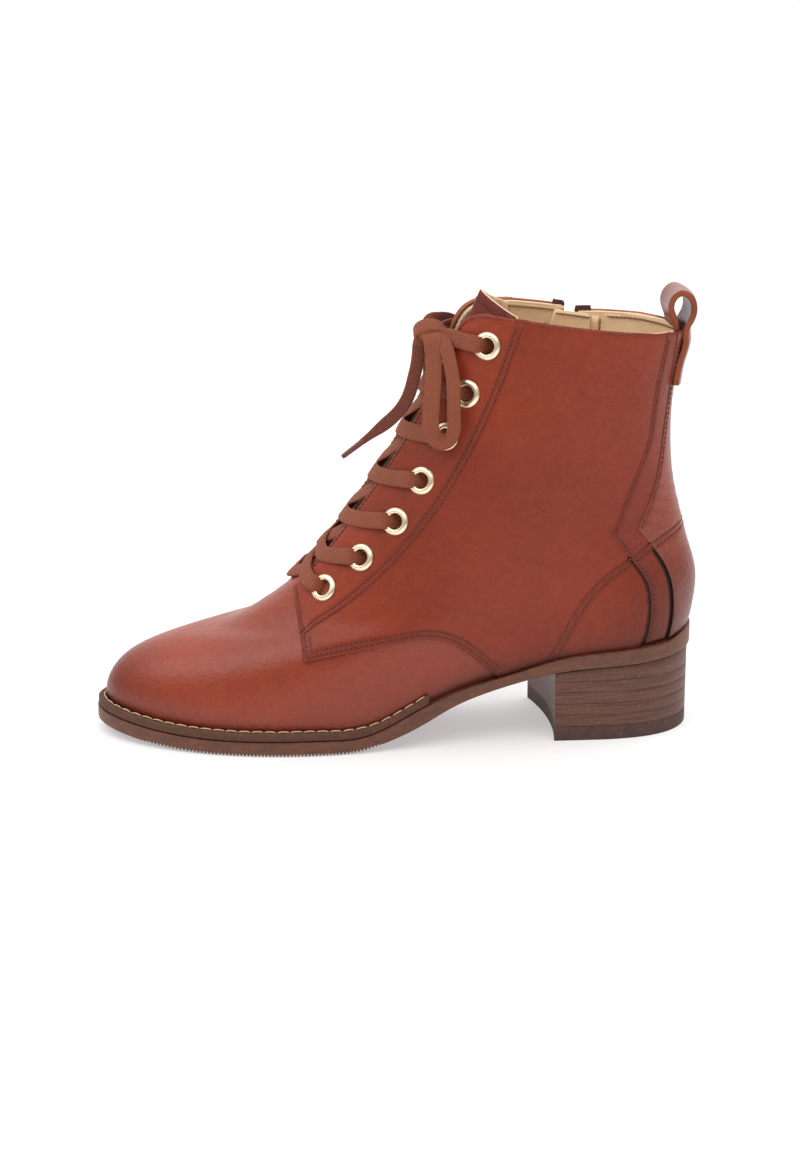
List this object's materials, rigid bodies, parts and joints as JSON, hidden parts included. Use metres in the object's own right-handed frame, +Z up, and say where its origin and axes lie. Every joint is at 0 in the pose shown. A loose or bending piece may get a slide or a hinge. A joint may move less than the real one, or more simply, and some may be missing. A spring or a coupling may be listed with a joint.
{
  "type": "ankle boot",
  "caption": "Left leather ankle boot with a derby lace-up front, inner side zip, back pull loop, welted sole and stacked block heel.",
  "frame": {"origin": "on the floor under the middle of the heel", "axes": "-X towards the toe, +X towards the heel, -Y towards the outer side of the foot, +Y towards the inner side, +Z up"},
  "size_m": [0.2576, 0.0896, 0.1905],
  "materials": {
    "leather": "semi-gloss reddish brown, fine grain",
    "leather_dark": "semi-gloss dark brown",
    "lining": "matt cream",
    "sole": "satin brown",
    "welt": "matt dark brown",
    "heel_stack": "satin brown, layered",
    "heel_rubber": "matt dark brown",
    "brass": "polished pale gold",
    "lace": "woven brown",
    "aglet": "gloss dark brown",
    "zip_tape": "woven dark brown"
  },
  "bodies": {
    "boot": {"outsole": "sole", "welt": "welt", "heel_top_piece": "heel_rubber", "heel_lift_1": "heel_stack", "heel_lift_2": "heel_stack", "heel_lift_3": "heel_stack", "heel_lift_4": "heel_stack", "heel_lift_5": "heel_stack", "insole": "lining", "upper": "leather", "eyestay_outer": "leather", "eyestay_inner": "leather", "quarter_outer": "leather", "quarter_inner": "leather", "back_band_outer": "leather_dark", "back_band_inner": "leather_dark", "back_counter": "leather", "tongue": "leather_dark", "pull_loop": "leather", "eyelet_outer_1": "brass", "eyelet_outer_2": "brass", "eyelet_outer_3": "brass", "eyelet_outer_4": "brass", "eyelet_outer_5": "brass", "eyelet_outer_6": "brass", "eyelet_outer_7": "brass", "eyelet_inner_1": "brass", "eyelet_inner_2": "brass", "eyelet_inner_3": "brass", "eyelet_inner_4": "brass", "eyelet_inner_5": "brass", "eyelet_inner_6": "brass", "eyelet_inner_7": "brass", "lace_cross_1": "lace", "lace_cross_2": "lace", "lace_cross_3": "lace", "lace_cross_4": "lace", "lace_cross_5": "lace", "lace_cross_6": "lace", "lace_top_bar": "lace", "lace_knot": "lace", "lace_loop_outer": "lace", "lace_loop_inner": "lace", "lace_end_outer": "lace", "lace_end_inner": "lace", "aglet_outer": "aglet", "aglet_inner": "aglet", "zip_tape": "zip_tape", "zip_teeth": "brass", "zip_slider": "brass"},
    "pull_tab": {"zip_pull": "brass"}
  },
  "joints": [
    {"name": "pull_tab_hinge", "type": "hinge", "parent": "boot", "child": "pull_tab", "pos_m": [-0.01935, 0.03232, 0.16658], "axis": [0.9927, -0.1019, -0.0639], "range_deg": [0, 150]}
  ]
}
